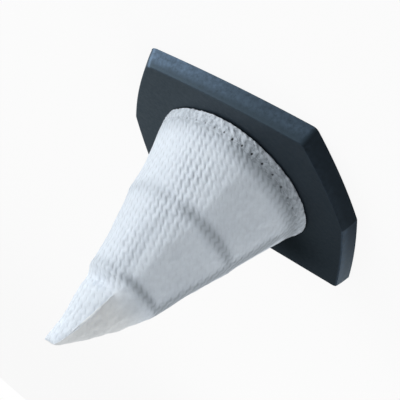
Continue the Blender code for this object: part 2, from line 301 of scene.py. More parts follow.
# Fine layers that two materials share: spun fibres, and the skin of a moulding
fibreShape = {"warp": 1.2, "coarseRate": 0.22, "coarseShare": 0.6}
grainShape = {
    "mottleRoughness": 0.66,
    "mottleRange": (0.3, 0.7),      # the mottle's values that reach the least and the most roughness
    "speckRate": 2.4,               # as a multiple of the mottle's rate
    "speckSize": 0.055,
}


def buildFibreGroup():
    # Fine spun fibres: two sizes of noise
    tree, given, result = newGroup("spunFibres", "Place", ["Rate"], ["Height", "Tint"])
    place, rate = given.outputs["Place"], given.outputs["Rate"]
    fine = noise(tree, place, rate, 3.0, distortion=fibreShape["warp"])
    coarse = noise(tree, place, times(tree, rate, fibreShape["coarseRate"]), 2.0)
    height = put(tree, "ShaderNodeMath", {0: coarse, 1: fibreShape["coarseShare"], 2: fine},
                 operation="MULTIPLY_ADD")
    feed(tree, result, {"Height": height.outputs[0], "Tint": coarse})
    return tree


def buildGrainGroup():
    # Moulded surface: a fine grain, a cloudy mottle and a few specks
    tree, given, result = newGroup(
        "mouldedGrain", "Place", ["Grain rate", "Mottle rate"], ["Grain", "Mottle", "Specks"])
    place, mottleRate = given.outputs["Place"], given.outputs["Mottle rate"]
    cells = put(tree, "ShaderNodeTexVoronoi",
                {"Vector": place, "Scale": times(tree, mottleRate, grainShape["speckRate"])})
    feed(tree, result, {
        "Grain": noise(tree, place, given.outputs["Grain rate"], 2.0),
        "Mottle": noise(tree, place, mottleRate, 6.0, roughness=grainShape["mottleRoughness"]),
        "Specks": math2(tree, "LESS_THAN", cells.outputs["Distance"], grainShape["speckSize"])})
    return tree


zigzagGroup = buildZigzagGroup()
fibreGroup = buildFibreGroup()
grainGroup = buildGrainGroup()


# Materials. A pair named weave, fuzz, twist, skin or soft is the strength and the distance of a bump.

# Needle holes: how many, where the first is, how unevenly they lie, and their size
needle = {
    "height": 0.0108,
    "count": 43,
    "start": 114.0,
    "drift": 6.6,                  # degrees that the holes crowd towards the top rib
    "driftHeading": 54.0,
    "driftSpread": 30.0,
    "pitch": 0.0046,
    "radius": (0.000294, 0.000483),
    "edge": (1.15, 0.75),          # shares of the radius where a hole's edge starts and ends
    "depth": 0.0003,
    "dentWidth": 0.0006,
    "jitter": 0.0005,
    "openHeading": math.radians(64.0),   # where the holes are pulled open
    "openSpread": math.radians(36.0),
    "openLeast": 0.35,
}

clothFinish = {
    "white": (0.793, 0.872, 0.962, 1.0),
    "linedAndLitThrough": (0.930, 0.972, 0.995, 1.0),      # where cloth lies behind it and not the dark cage, with painted light that comes through the tip
    "shaded": (0.395, 0.445, 0.495, 1.0),     # painted shade where the dark cage lies behind the thin cloth, and in the hem's knots
    # The next colour is painted shade in the grooves and in the pits beside the pillows
    "groove": (0.60, 0.66, 0.73, 1.0),
    # The next colour is painted shade in the needle holes
    "hole": (0.012, 0.012, 0.014, 1.0),
    "grooveShade": 0.45,
    "pitShade": 0.85,
    "pitRange": (0.68, 0.92),
    "knotRate": 620.0,                        # the knots in the gathered hem, with painted shade in their crumples
    "knotRange": (0.49, 0.61),
    "knotShade": 0.54,
    "knotDepth": 1.2,
    "speckle": (0.80, 1.3),                   # the cage's shadow on the wales and in their grooves
    "cloudRange": (0.3, 0.7),
    "cloudTint": (0.94, 1.03),
    "fibreRate": 2400.0,
    "weave": (0.66, 0.00018),
    "fuzz": (0.5, 0.00008),
    "roughness": 0.92,
    "sheen": 0.12,
    "specular": 0.2,
    "scatter": 0.20,                          # light that spreads in the cloth, and how far
    "scatterReach": 0.0009,
}


def clothColour(tree, place, flat):
    # White cloth with painted shade in its grooves, in the pits beside each pillow, in the knots of the
    # gathered hem and where the dark cage lies behind it, painted light on the tip's belly, and a slight
    # cloudiness
    finish = clothFinish
    cells = placeGroup(tree, zigzagGroup, {"Flat place": flat}).outputs
    fibres = placeGroup(tree, fibreGroup, {"Place": place, "Rate": finish["fibreRate"]}).outputs
    groove, relief = cells["Groove"], attribute(tree, "waleRelief")
    colour = blendColour(tree, attribute(tree, "lining"), finish["white"], finish["linedAndLitThrough"])
    grooveShading = times(tree, times(tree, groove, relief), finish["grooveShade"])
    colour = blendColour(tree, grooveShading, colour, finish["groove"])
    pits = mapRange(tree, groove, *finish["pitRange"], 0.0, finish["pitShade"])
    colour = blendColour(tree, times(tree, pits, attribute(tree, "pitted")), colour, finish["groove"])
    knots = mapRange(tree, noise(tree, place, finish["knotRate"], 1.0), *finish["knotRange"])
    knots = times(tree, knots, attribute(tree, "gathered"))
    colour = blendColour(tree, times(tree, knots, finish["knotShade"]), colour, finish["shaded"])
    speckle = mapRange(tree, groove, 0.0, 1.0, *finish["speckle"])
    shade = put(tree, "ShaderNodeMath", {0: attribute(tree, "cageShade"), 1: speckle},
                operation="MULTIPLY", use_clamp=True)
    colour = blendColour(tree, shade.outputs[0], colour, finish["shaded"])
    tint = mapRange(tree, fibres["Tint"], *finish["cloudRange"], *finish["cloudTint"])
    grey = put(tree, "ShaderNodeCombineColor", {name: tint for name in ("Red", "Green", "Blue")})
    colour = blendColour(tree, 1.0, colour, grey.outputs[0], "MULTIPLY")
    height = less(tree, times(tree, cells["Height"], relief), times(tree, knots, finish["knotDepth"]))
    return colour, height, fibres["Height"]


def needleHoleShade(tree):
    # Painted shade in the needle holes: a dark oval at each whole number along the needle line, each its own
    # size
    line = put(tree, "ShaderNodeUVMap", uv_map="needleLine").outputs["UV"]
    parts = put(tree, "ShaderNodeSeparateXYZ", {0: line}).outputs
    number = math2(tree, "ROUND", parts["X"])
    chance = put(tree, "ShaderNodeTexWhiteNoise", {"W": number}, noise_dimensions="1D").outputs["Value"]
    across = times(tree, less(tree, parts["X"], number), needle["pitch"])
    along = less(tree, parts["Y"], times(tree, less(tree, chance, 0.5), needle["jitter"]))
    far = math2(tree, "ADD", times(tree, across, across), times(tree, along, along))
    reach = mapRange(tree, chance, 0.0, 1.0, *needle["radius"])
    mask = mapRange(tree, math2(tree, "DIVIDE", math2(tree, "SQRT", far), reach), *needle["edge"])
    return times(tree, mask, attribute(tree, "openHoles"))


def buildClothMaterial():
    made, tree, shader = newMaterial("filterCloth")
    flat = put(tree, "ShaderNodeUVMap", uv_map="flatCloth").outputs["UV"]
    colour, cells, fibres = clothColour(tree, objectPlace(tree), flat)
    weave = surfaceBump(tree, cells, clothFinish["weave"])
    feed(tree, shader, {
        "Base Color": blendColour(tree, needleHoleShade(tree), colour, clothFinish["hole"]),
        "Normal": surfaceBump(tree, fibres, clothFinish["fuzz"], weave),
        "Roughness": clothFinish["roughness"],
        "Sheen Weight": clothFinish["sheen"],
        "Specular IOR Level": clothFinish["specular"],
        "Subsurface Weight": clothFinish["scatter"],
        "Subsurface Radius": (1.0, 1.0, 1.0),
        "Subsurface Scale": clothFinish["scatterReach"]})
    return made


threadFinish = {
    "white": (0.60, 0.66, 0.73, 1.0),
    "shaded": (0.42, 0.47, 0.53, 1.0),
    "fibreRate": 5200.0,
    "twist": (0.5, 0.00005),
    "roughness": 0.85,
}


def buildThreadMaterial():
    made, tree, shader = newMaterial("sewingThread")
    links = {"Place": objectPlace(tree), "Rate": threadFinish["fibreRate"]}
    fibres = placeGroup(tree, fibreGroup, links).outputs
    feed(tree, shader, {
        "Base Color": blendColour(tree, fibres["Tint"], threadFinish["shaded"], threadFinish["white"]),
        "Normal": surfaceBump(tree, fibres["Height"], threadFinish["twist"]),
        "Roughness": threadFinish["roughness"]})
    return made


def mouldedSkin(tree, finish):
    # The outputs of the moulded grain, and a roughness that follows its mottle
    grainRate, mottleRate = finish["rates"]
    grain = placeGroup(tree, grainGroup, {
        "Place": objectPlace(tree), "Grain rate": grainRate, "Mottle rate": mottleRate}).outputs
    return grain, mapRange(tree, grain["Mottle"], *grainShape["mottleRange"], *finish["roughness"])


rubberFinish = {
    "dark": (0.0100, 0.0142, 0.0195, 1.0),
    "bloomAndSheen": (0.140, 0.210, 0.310, 1.0),     # pale bluish bloom on the walls, and painted sheen where light falls on them
    "clouds": (0.32, 0.68),
    "cloudLeast": 0.30,
    "speck": (0.12, 0.14, 0.16, 1.0),
    "speckTint": 0.5,
    "gloss": (0.60, 0.84, 1.0, 1.0),
    # The next colour is painted shade on the face below the cone, where it is darker and duller
    "shadeAndDull": (0.0002, 0.0002, 0.0003, 1.0),
    "dullRoughness": 0.5,
    "roughness": (0.44, 0.60),
    "rates": (3400.0, 640.0),                # of the fine grain and of the mottle
    "skin": (0.35, 0.00005),
    "soft": (0.2, 0.0002),
}


def buildRubberMaterial():
    # Dark rubber with a cloudy bloom and painted sheen, specks, and a darker, duller painted shade below the
    # cone
    made, tree, shader = newMaterial("sealRubber")
    finish, shadeAndDull = rubberFinish, attribute(tree, "shadeAndDull")
    grain, rough = mouldedSkin(tree, finish)
    clouds = mapRange(tree, grain["Mottle"], *finish["clouds"], finish["cloudLeast"])
    colour = blendColour(tree, times(tree, clouds, attribute(tree, "bloomAndSheen")), finish["dark"], finish["bloomAndSheen"])
    colour = blendColour(tree, times(tree, grain["Specks"], finish["speckTint"]), colour, finish["speck"])
    skin = surfaceBump(tree, grain["Grain"], finish["skin"])
    feed(tree, shader, {
        "Base Color": blendColour(tree, shadeAndDull, colour, finish["shadeAndDull"]),
        "Roughness": math2(tree, "ADD", rough, times(tree, shadeAndDull, finish["dullRoughness"])),
        "Normal": surfaceBump(tree, grain["Mottle"], finish["soft"], skin),
        "Specular Tint": finish["gloss"]})
    return made


plasticFinish = {
    "dark": (0.026, 0.028, 0.031, 1.0),
    "worn": (0.050, 0.053, 0.057, 1.0),
    "roughness": (0.34, 0.5),
    "rates": (2200.0, 160.0),
    "skin": (0.3, 0.00004),
}


def buildPlasticMaterial():
    made, tree, shader = newMaterial("cagePlastic")
    grain, rough = mouldedSkin(tree, plasticFinish)
    feed(tree, shader, {
        "Base Color": blendColour(tree, grain["Mottle"], plasticFinish["dark"], plasticFinish["worn"]),
        "Roughness": rough,
        "Normal": surfaceBump(tree, grain["Grain"], plasticFinish["skin"])})
    return made


cloth = buildClothMaterial()
thread = buildThreadMaterial()
rubber = buildRubberMaterial()
plastic = buildPlasticMaterial()
print("Materials built")


# Seal flange: the wall's section carried round the bowed six-sided outline

flange = {
    "waist": 0.0475,              # half width at the waist, at the front face
    "waistY": 0.0030,
    "bottomInset": 0.0014,        # how much narrower each side is at the bottom
    "topInset": 0.0157,
    "flare": 0.0016,              # how far the rear edge stands out from the front edge
    "bows": (0.0008, 0.0011, 0.0011, 0.0011, 0.0008, 0.0),
    "cornerRadii": (0.0020, 0.0012, 0.0023, 0.0030, 0.0012, 0.0020),
    "cornerPull": 0.0013,         # how far the rear of the top left corner is drawn out sideways
    "cornerReach": 0.0060,
    "edgeRound": 0.00028,
    "throat": 0.0290,
    "mouth": 0.0310,
    "rearLip": 0.0016,
    "groove": 0.0352,
    "grooveTop": 0.0038,
    "wallBulge": 0.00012,
    "shadePatch": (0.0235, -0.0265, 0.0175, 1.0),   # place, size and strength of the duller patch of painted shade below the cone
    # Heading, spread and strength of each part of the bloom and its painted sheen, then where it fades
    # towards the right, over what length and by how much, how it fades at the front of the top side, and the
    # painted highlight on the top
    # left corner: its distance, width, last heading and the softness there
    "bloomsAndSheens": ((92.0, 26.0, 1.02), (-2.0, 12.0, 1.40), (23.0, 8.0, 0.30), (200.0, 50.0, 0.12)),
    "bloomAndSheenFade": (-0.040, 0.056, 0.70),
    "topBloomAndSheen": (97.0, 40.0, 0.80),
    "cornerHighlight": (0.0010, 0.0005, 135.0, 20.0),
    "bloomAndSheenLeast": 0.02,
    "faceRows": (0.03, 0.18, 0.34, 0.5, 0.66, 0.82, 0.97),
    "wallRows": 14,
    "stepsBow": 40,
    "stepsCorner": 12,
}


def flangeCorners(offset):
    # The six corners, counterclockwise from bottom right, with every edge moved out by the offset
    topY = flangeHigh.y - flange["flare"] - flange["bows"][2]
    bottomY = flangeLow.y + flange["flare"]
    waist = flange["waist"]
    right = [(waist - flange["bottomInset"], bottomY), (waist, flange["waistY"]),
             (waist - flange["topInset"], topY)]
    corners = np.array(right + [(-x, y) for x, y in reversed(right)])
    edge = unit(np.roll(corners, -1, axis=0) - corners)
    outward = np.stack([edge[:, 1], -edge[:, 0]], axis=1)
    before, after = np.roll(outward, 1, axis=0), outward
    return corners + offset * (before + after) / (1.0 + np.sum(before * after, axis=1, keepdims=True))


def flangeOutline(offset):
    # Each edge is a shallow parabola bowed outwards; each corner is a quadratic curve in line with both edges
    corners = flangeCorners(offset)
    count = len(corners)
    ends = np.roll(corners, -1, axis=0)
    edge = ends - corners
    length = np.linalg.norm(edge, axis=1)
    edge /= length[:, None]
    outward = np.stack([edge[:, 1], -edge[:, 0]], axis=1)
    bows, radii = np.array(flange["bows"]), np.array(flange["cornerRadii"])
    turn = [math.acos(float(np.clip(edge[i - 1] @ edge[i], -1.0, 1.0))) for i in range(count)]
    trim = radii * np.tan(np.array(turn) / 2.0)

    def along(i, share):
        share = np.atleast_1d(share)[:, None]
        return corners[i] + edge[i] * share * length[i] + outward[i] * 4.0 * bows[i] * share * (1.0 - share)

    def slope(i, share):
        return edge[i] + outward[i] * 4.0 * bows[i] * (1.0 - 2.0 * share) / length[i]

    outline = []
    for i in range(count):
        following = (i + 1) % count
        first, last = trim[i] / length[i], 1.0 - trim[following] / length[i]
        nextShare = trim[following] / length[following]
        outline.append(along(i, np.linspace(first, last, flange["stepsBow"], endpoint=False)))
        leave, join, way = along(i, last)[0], along(following, nextShare)[0], slope(i, last)
        reach = np.linalg.solve(np.stack([way, slope(following, nextShare)], axis=1), join - leave)
        bend = leave + way * reach[0]
        t = np.linspace(0.0, 1.0, flange["stepsCorner"], endpoint=False)[:, None]
        outline.append((1.0 - t) ** 2 * leave + 2.0 * t * (1.0 - t) * bend + t ** 2 * join)
    return np.concatenate(outline)


def flangeSection():
    # The section from the throat over the front face, down the wall, over the rear face to the throat. Each
    # row is the share of the way from circle to outline, the outline's offset, the circle's radius and z
    fine, flare, throat, mouth = (flange[name] for name in ("edgeRound", "flare", "throat", "mouth"))
    lip, groove, grooveTop = flange["rearLip"], flange["groove"], flange["grooveTop"]
    innerRound = np.radians([0.0, 30.0, 60.0, 90.0])
    outerRound = np.radians([0.0, 15.0, 30.0, 45.0, 60.0, 75.0, 90.0])
    rows = [(0.0, 0.0, throat, grooveTop)]
    for turn in innerRound:
        radius = throat + fine * (1.0 - math.cos(turn))
        rows.append((0.0, 0.0, radius, faceZ - fine * (1.0 - math.sin(turn))))
    for share in flange["faceRows"]:
        rows.append((share, -fine, throat + fine, faceZ))
    for turn in outerRound:
        rows.append((1.0, -fine * (1.0 - math.sin(turn)), 0.0, faceZ - fine * (1.0 - math.cos(turn))))
    for share in np.linspace(0.04, 0.96, flange["wallRows"]):
        z = (faceZ - fine) + (2.0 * fine - faceZ) * share
        swell = flange["wallBulge"] * 4.0 * share * (1.0 - share)
        rows.append((1.0, flare * (1.0 - z / faceZ) + swell, 0.0, z))
    for turn in outerRound:
        rows.append((1.0, flare - fine * (1.0 - math.cos(turn)), 0.0, fine * (1.0 - math.sin(turn))))
    for share in (0.97, 0.75, 0.5, 0.25, 0.03):
        rows.append((share, flare - fine, mouth + fine, 0.0))
    for turn in innerRound[::-1]:
        rows.append((0.0, 0.0, mouth + fine * (1.0 - math.cos(turn)), fine * (1.0 - math.sin(turn))))
    for radius, z in ((mouth, lip), (mouth + 0.0001, lip), (groove, lip), (groove, grooveTop)):
        rows.append((0.0, 0.0, radius, z))
    return rows


def wallBloomAndSheen(outline, fromCorner, z):
    # The pale bloom on the wall with painted sheen: bells round the headings of its sides, stronger at the
    # front except on the top side, and a painted highlight on the top left corner
    edge = np.roll(outline, -1, axis=0) - np.roll(outline, 1, axis=0)
    facing = np.degrees(np.arctan2(-edge[:, 0], edge[:, 1]))
    dustAndSheen = sum(weight * bump((facing - turn + 180.0) % 360.0 - 180.0, width)
                for turn, width, weight in flange["bloomsAndSheens"])
    fadeStart, fadeLength, fadeShare = flange["bloomAndSheenFade"]
    dustAndSheen = dustAndSheen * (1.0 - fadeShare * rise(outline[:, 0], fadeStart, fadeLength))
    topHeading, topSpread, topFade = flange["topBloomAndSheen"]
    onTop, front = bump(facing - topHeading, topSpread), rise(z / faceZ, 0.5, 0.4)
    # Painted highlight down the top left corner
    far, width, lastHeading, softness = flange["cornerHighlight"]
    paintedCornerHighlight = bump(fromCorner - far, width) * rise(facing, lastHeading, -softness)
    return paintedCornerHighlight + dustAndSheen * (onTop * (1.0 - topFade * front) + (1.0 - onTop) * (0.5 + 0.5 * front))


def buildFlange():
    # Each row lies between a circle and the outline, and carries its bloom with painted sheen and its painted
    # shade patch
    points, bloomAndSheen, shadeAndDull = [], [], []
    patchX, patchY, patchSize, patchShare = flange["shadePatch"]
    for share, offset, radius, z in flangeSection():
        outline = flangeOutline(offset)
        flat = unit(outline) * radius * (1.0 - share) + outline * share
        fromCorner = np.linalg.norm(outline - flangeCorners(offset)[3], axis=1)
        pull = flange["cornerPull"] * share * (1.0 - z / faceZ)
        flat[:, 0] -= pull * bump(fromCorner, flange["cornerReach"])
        points.append(np.column_stack([flat, np.full(len(flat), z)]))
        fromPatch = np.hypot(flat[:, 0] - patchX, flat[:, 1] - patchY)
        shadeAndDull.append(patchShare * bump(fromPatch, patchSize) * (z > faceZ - 0.0001))
        onWall = 1.0 if share == 1.0 else 0.0
        bloomAndSheen.append(flange["bloomAndSheenLeast"] + onWall * wallBloomAndSheen(outline, fromCorner, z))
    points = np.array(points)
    faces = gridFaces(*points.shape[:2], closedRows=True)[:, ::-1]
    mesh = meshFrom("rubber_flange", points, faces)
    mesh.set_sharp_from_angle(angle=math.radians(50.0))
    addValues(mesh, "bloomAndSheen", np.array(bloomAndSheen))
    addValues(mesh, "shadeAndDull", np.array(shadeAndDull))
    piece = addPiece("rubber_flange", mesh, rubber)
    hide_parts("seal_flange")


buildFlange()
print("Flange built")


# Cage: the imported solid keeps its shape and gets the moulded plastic

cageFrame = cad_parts["cage_frame"]
cageFrame.material_slots[0].material = plastic
print("Cage dressed")


# Lamps: power, size, heading and height in degrees, distance, and whether a gloss shows them. They stand here
# because the cage's shadows in the cloth depend on the key lamp's heading.
lamps = {
    "key": (4.60, 0.60, 138.0, 17.0, 0.90, True),
    "fill": (1.00, 0.40, -60.0, 15.0, 0.60, False),
}

# Cloth sleeve

sleeve = {
    "columns": 428,
    "rows": (18, 124, 54),         # up to the needle line, up to the tip, and on the tip
    "thickness": 0.0009,
    "endRadius": 0.0141,
    "endRingZ": 0.0665,
    "middleRingZ": 0.0375,
    "collarTop": 0.0132,
    "lean": math.tan(math.radians(5.0)),
    "sags": ((28.0, 31.0, 0.0022), (138.0, 42.0, 0.0013), (225.0, 45.0, 0.0015),
             (310.0, 38.0, 0.0006)),   # heading, half width and depth
    "sagSharpness": 1.35,          # lower is flatter between two ribs and sharper over them
    "pinch": (0.00010, 0.0009),    # depth and width of the pinch along the needle line
    "turnRadius": 0.0290,          # inner turn of the hem, over the cage's collar
    "turnThickness": 0.0006,
    "edgeRoll": 0.00042,
    "edgeLift": 0.24,              # how far the edge lifts, as a share of its flare
    "opening": 0.0002,             # how far the hem opens all round
    "openingPower": 1.3,
    "flare": 0.0014,               # how far the hem's edge stands out where it lifts
    "lifts": ((78.0, 20.0, 0.85), (95.0, 7.0, 0.3), (-13.0, 17.0, 0.75), (158.0, 14.0, -0.3),
              (-60.0, 20.0, 0.6), (-130.0, 26.0, 0.5)),   # heading, spread and share
    "reliefs": ((-150.0, 0.4), (-90.0, 0.6), (-60.0, 0.3), (-14.0, 0.2), (-3.0, 0.6), (8.0, 0.24),
                (42.0, 0.12), (54.0, 0.16), (62.0, 0.54), (78.0, 0.92), (90.0, 0.88), (106.0, 0.50),
                (124.0, 0.22), (165.0, 0.24)),   # how far the wales stand out, by heading
    "pits": ((-150.0, 0.8), (-90.0, 0.5), (-60.0, 0.3), (-14.0, 0.1), (44.0, 0.12), (60.0, 0.5),
             (104.0, 0.8), (124.0, 1.0), (165.0, 1.0)),   # how strong the painted shade in the pits beside the pillows is, by heading
    "uneven": (0.00016, 0.0055),   # how far the wales wander from their even lines, and over what length
    "clouds": ((0.3, 0.016, 3), (0.22, 0.0036, 13)),   # unevenness of the relief: share, size and seed
    # Soft waves of the cloth: where, height, size, seed and how many
    "waves": (("all", 0.00010, 0.011, 5, 8), ("all", 0.00005, 0.0042, 8, 8),
              ("belly", 0.00009, 0.0062, 31, 8), ("hem", 0.00016, 0.0018, 11, 14)),
    "seamAngle": math.radians(-90.0),
    "seamWidth": 0.0017,
    "seamHeight": 0.0005,
}

tip = {
    "start": 0.0678,
    "shiftX": -0.0067,
    "shiftY": -0.0009,
    "halfDepth": 0.0044,
    "halfThickness": 0.0015,
    "fold": math.radians(70.0),    # heading of the crease where the tip starts
    "twist": math.radians(-33.0),
    "dip": (0.0031, 0.07092, 0.0024),   # depth, height and length of the dip over the end ring
    "dipTurn": math.radians(42.0),   # how far round from the crease the dip is deepest
    "dipSpread": 0.70,
    "depthTaper": 0.9,
    "flapTaper": 1.15,
    "bellyTaper": 0.75,
    "crease": 0.9,                 # how much sharper than a circle's side the two folds are
    "lap": 0.0009,                 # how far the flap stands over the face below its crease
    "endRound": 0.0012,
    "endPinch": 0.10,
    "flapRelief": 0.42,
    "bellyRelief": 0.20,
    "wrinkles": ((0.0758, 9.0, 0.00050), (0.0775, 19.0, 0.00030)),   # height, heading and swell on the belly
}

# The cage's grey shadows in the cloth. A pair is where one comes in and over what length; a length below 0
# turns it round
shadow = {
    "rings": ((0.0381, 0.88, 0.0022), (0.0662, 0.95, 0.0016)),   # height, strength and width
    "ribs": ((81.0, 1.0, 0.033, 0.0017), (-9.0, 1.55, 0.012, 0.0031), (-90.0, 0.8, 0.015, 0.0020),
             (180.0, 0.9, 0.015, 0.0020)),   # heading, strength, start and width
    "ribStart": 0.010,
    "ribEnd": (0.0675, -0.002),
    "collar": (0.0178, -0.0055),
    "collarFoot": (0.0085, 0.0025),
    "lit": 0.34,                   # what is left of the shadows on the side that faces the key lamp
    "litEdge": (0.53, -0.19),
    "hollow": 0.15,                # painted shade on the lit side, above the collar, where the cone is hollow
    "hollowStart": (0.019, 0.024),
    "hollowEdge": (0.45, 0.3),
}


def coneRadius(z):
    # Straight taper from the hem's radius to the end ring's
    share = (z - faceZ) / (sleeve["endRingZ"] - faceZ)
    return hemRadius + (sleeve["endRadius"] - hemRadius) * share


def lean(z):
    # How far the cone leans over at a height
    return sleeve["lean"] * np.maximum(0.0, z - faceZ)


def hemShare(z):
    # 0 above the needle line and 1 at the hem's edge
    top = needle["height"] + 0.001
    return np.clip((top - z) / (top - hemEdgeZ), 0.0, 1.0)


def tipShare(z):
    # 0 up to the tip's start and 1 at its end
    return np.clip((z - tip["start"]) / (tipZ - tip["start"]), 0.0, 1.0)


def foldAngle(share):
    # The crease turns evenly on its way up the tip
    return tip["fold"] + tip["twist"] * share


def awayFrom(heading, angle):
    # The signed turn from a heading in degrees
    return turnBetween(angle, math.radians(heading))


def byHeading(table, turn):
    # Values at headings in degrees, joined by straight lines
    headings, values = np.array(table).T
    return np.interp(np.degrees(turn) % 360.0, headings, values, period=360.0)


def baySag(z, angle):
    # The cloth's bays between ribs and rings: a sine arch up each bay times a power of a sine arch round it
    total = 0.0
    heights = (sleeve["collarTop"], sleeve["middleRingZ"], sleeve["endRingZ"])
    for low, high in zip(heights, heights[1:]):
        place = np.clip((z - low) / (high - low), 0.0, 1.0)
        total = total + np.sin(np.pi * place) ** 0.8
    depth = 0.0
    for heading, half, sag in sleeve["sags"]:
        away = np.minimum(np.abs(awayFrom(heading, angle)) / math.radians(half), 1.0)
        depth = depth + sag * np.cos(0.5 * np.pi * away) ** sleeve["sagSharpness"]
    return depth * total


def hemFlare(angle):
    # Where the hem's edge lifts off the flange: a bell round each heading
    return sleeve["flare"] * sum(share * bump(awayFrom(heading, angle), math.radians(spread))
                                 for heading, spread, share in sleeve["lifts"])


def outerCone(z, angle):
    # Radius of the cloth: taut cone less its sag, opening at the hem and pinched along the needle line
    opening = (sleeve["opening"] + hemFlare(angle)) * hemShare(z) ** sleeve["openingPower"]
    depth, width = sleeve["pinch"]
    return coneRadius(z) - baySag(z, angle) + opening - depth * bump(z - needle["height"], width)


def tipSection(z, angle, inset):
    # A circle that flattens to a lens with two sharp folds: half widths shrink along the tip, the lens turns,
    # and the face under the crease is set back so that the flap laps over it
    share, startRadius = tipShare(z), coneRadius(tip["start"])
    fold = foldAngle(share)
    around = angle - fold
    side = np.sin(around)
    depth = tip["halfDepth"] + (startRadius - tip["halfDepth"]) * (1.0 - share) ** tip["depthTaper"]
    taper = np.where(side > 0.0, tip["flapTaper"], tip["bellyTaper"])
    thickness = tip["halfThickness"] + (startRadius - tip["halfThickness"]) * (1.0 - share) ** taper
    deepest, dipZ, dipLength = tip["dip"]
    dip = deepest * bump(z - dipZ, dipLength) * bump(turnBetween(around, tip["dipTurn"]), tip["dipSpread"])
    below = turnBetween(around, 0.0)
    lap = tip["lap"] * smoothStep(4.0 * share) * rise(share, 0.96, -0.3)
    lap = lap * smoothStep(-below / 0.12) * bump(below + 0.12, 0.6)
    rounding = np.clip((z - (tipZ - tip["endRound"])) / tip["endRound"], 0.0, 1.0)
    closing = np.sqrt(1.0 - rounding ** 2)
    power = 1.0 + tip["crease"] * smoothStep(1.6 * share)
    u = (depth - inset - dip) * np.cos(around) * (1.0 - tip["endPinch"] * (1.0 - closing))
    v = (thickness - inset - dip) * np.sign(side) * np.abs(side) ** power
    v = (v + lap) * closing
    x = tip["shiftX"] * share ** 1.2 + u * np.cos(fold) - v * np.sin(fold)
    y = lean(z) + tip["shiftY"] * share + u * np.sin(fold) + v * np.cos(fold)
    return x, y


def clothPoints(z, angle, inset):
    # The cloth's surface at each height and angle, set in by the inset
    radius = outerCone(z, angle) - inset
    coneX, coneY = radius * np.cos(angle), radius * np.sin(angle) + lean(z)
    tipX, tipY = tipSection(z, angle, inset)
    onTip = z > tip["start"]
    full = np.broadcast_to(z, np.broadcast(z, angle).shape)
    return np.stack([np.where(onTip, tipX, coneX), np.where(onTip, tipY, coneY), full], axis=-1)


def needleAngles():
    # Headings of the needle holes: even steps with a slow drift that crowds them over the top rib
    even = needle["start"] - 360.0 / needle["count"] * np.arange(needle["count"])
    away = np.degrees(turnBetween(np.radians(even), math.radians(needle["driftHeading"])))
    return np.radians(even + needle["drift"] * bump(away, needle["driftSpread"]))


def needleNumbers(angle):
    # A running number round the needle line that is whole at each hole
    holes = needleAngles()[::-1]
    turns = np.concatenate([holes, holes[:1] + 2.0 * np.pi])
    wrapped = (angle - turns[0]) % (2.0 * np.pi) + turns[0]
    return np.interp(wrapped, turns, np.arange(len(turns)))


def cageShade(z, angle):
    # The dark cage behind the thin cloth, as painted shade that is weaker towards the key lamp: bells over
    # each ring and rib, a band over the collar, and on the lit side a little more above the collar
    rings = sum(strength * bump(z - height, width) for height, strength, width in shadow["rings"])
    ribs = sum(strength * rise(z, start, shadow["ribStart"])
               * bump(awayFrom(heading, angle) * coneRadius(z), width)
               for heading, strength, start, width in shadow["ribs"])
    ribs = ribs * rise(z, *shadow["ribEnd"])
    collar = rise(z, *shadow["collar"]) * (0.5 + 0.5 * rise(z, *shadow["collarFoot"]))
    towardsKey = np.cos(angle - math.radians(lamps["key"][2]))
    facing = shadow["lit"] + (1.0 - shadow["lit"]) * rise(towardsKey, *shadow["litEdge"])
    hollow = shadow["hollow"] * rise(z, *shadow["hollowStart"]) * rise(towardsKey, *shadow["hollowEdge"])
    return np.clip((np.maximum(rings, ribs) + collar) * facing + hollow, 0.0, 1.0)


def sleeveRows():
    # Heights of the rows: the outside from the hem's edge up to the tip's end, then the inside down again
    belowNeedle, upToTip, onTip = sleeve["rows"]
    outside = np.concatenate([
        np.linspace(hemEdgeZ + sleeve["edgeRoll"], needle["height"], belowNeedle)[:-1],
        np.linspace(needle["height"], tip["start"], upToTip)[:-1],
        np.linspace(tip["start"], tipZ - tip["endRound"], onTip)[:-1],
        tipZ - tip["endRound"] * (1.0 - np.sin(np.radians([0.0, 30.0, 55.0, 75.0, 90.0])))])
    inside = np.concatenate([
        np.linspace(tipZ - 7.0 * sleeve["thickness"], tip["start"], 9)[:-1],
        np.linspace(tip["start"], sleeve["collarTop"], 16),
        [needle["height"], hemEdgeZ + sleeve["turnThickness"]]])
    return outside, inside


def flatPlaces(body, heights):
    # Place in the flat cloth: distance from the cone's apex down the front line, and arc length round it
    middle = sleeve["columns"] // 2
    slope = (hemRadius - sleeve["endRadius"]) / (sleeve["endRingZ"] - faceZ)
    apex = hemRadius / math.sin(math.atan(slope))
    steps = np.linalg.norm(np.diff(body[:, middle], axis=0), axis=1)
    fromApex = apex - (heights[0] - faceZ) - np.concatenate([[0.0], np.cumsum(steps)])
    fromApex = np.maximum(fromApex, 0.010)[:, None]
    gaps = np.linalg.norm(np.roll(body, -1, axis=1) - body, axis=2)
    arc = np.concatenate([np.zeros((len(heights), 1)), np.cumsum(gaps, axis=1)], axis=1)
    swing = (arc[:, middle][:, None] - arc) / fromApex
    flat = np.stack([fromApex * np.sin(swing), fromApex * np.cos(swing)], axis=-1)
    far, size = sleeve["uneven"]
    waves = [softWaves(flat[..., 0], flat[..., 1], size, seed) for seed in (21, 22)]
    return flat + far * np.stack(waves, axis=-1)


def tipSides(z, turn):
    # The share of the tip, and how far a point is on the tip and on its flap
    share = tipShare(z)
    return share, smoothStep(share / 0.12), smoothStep(0.5 + 4.0 * np.sin(turn - foldAngle(share)))


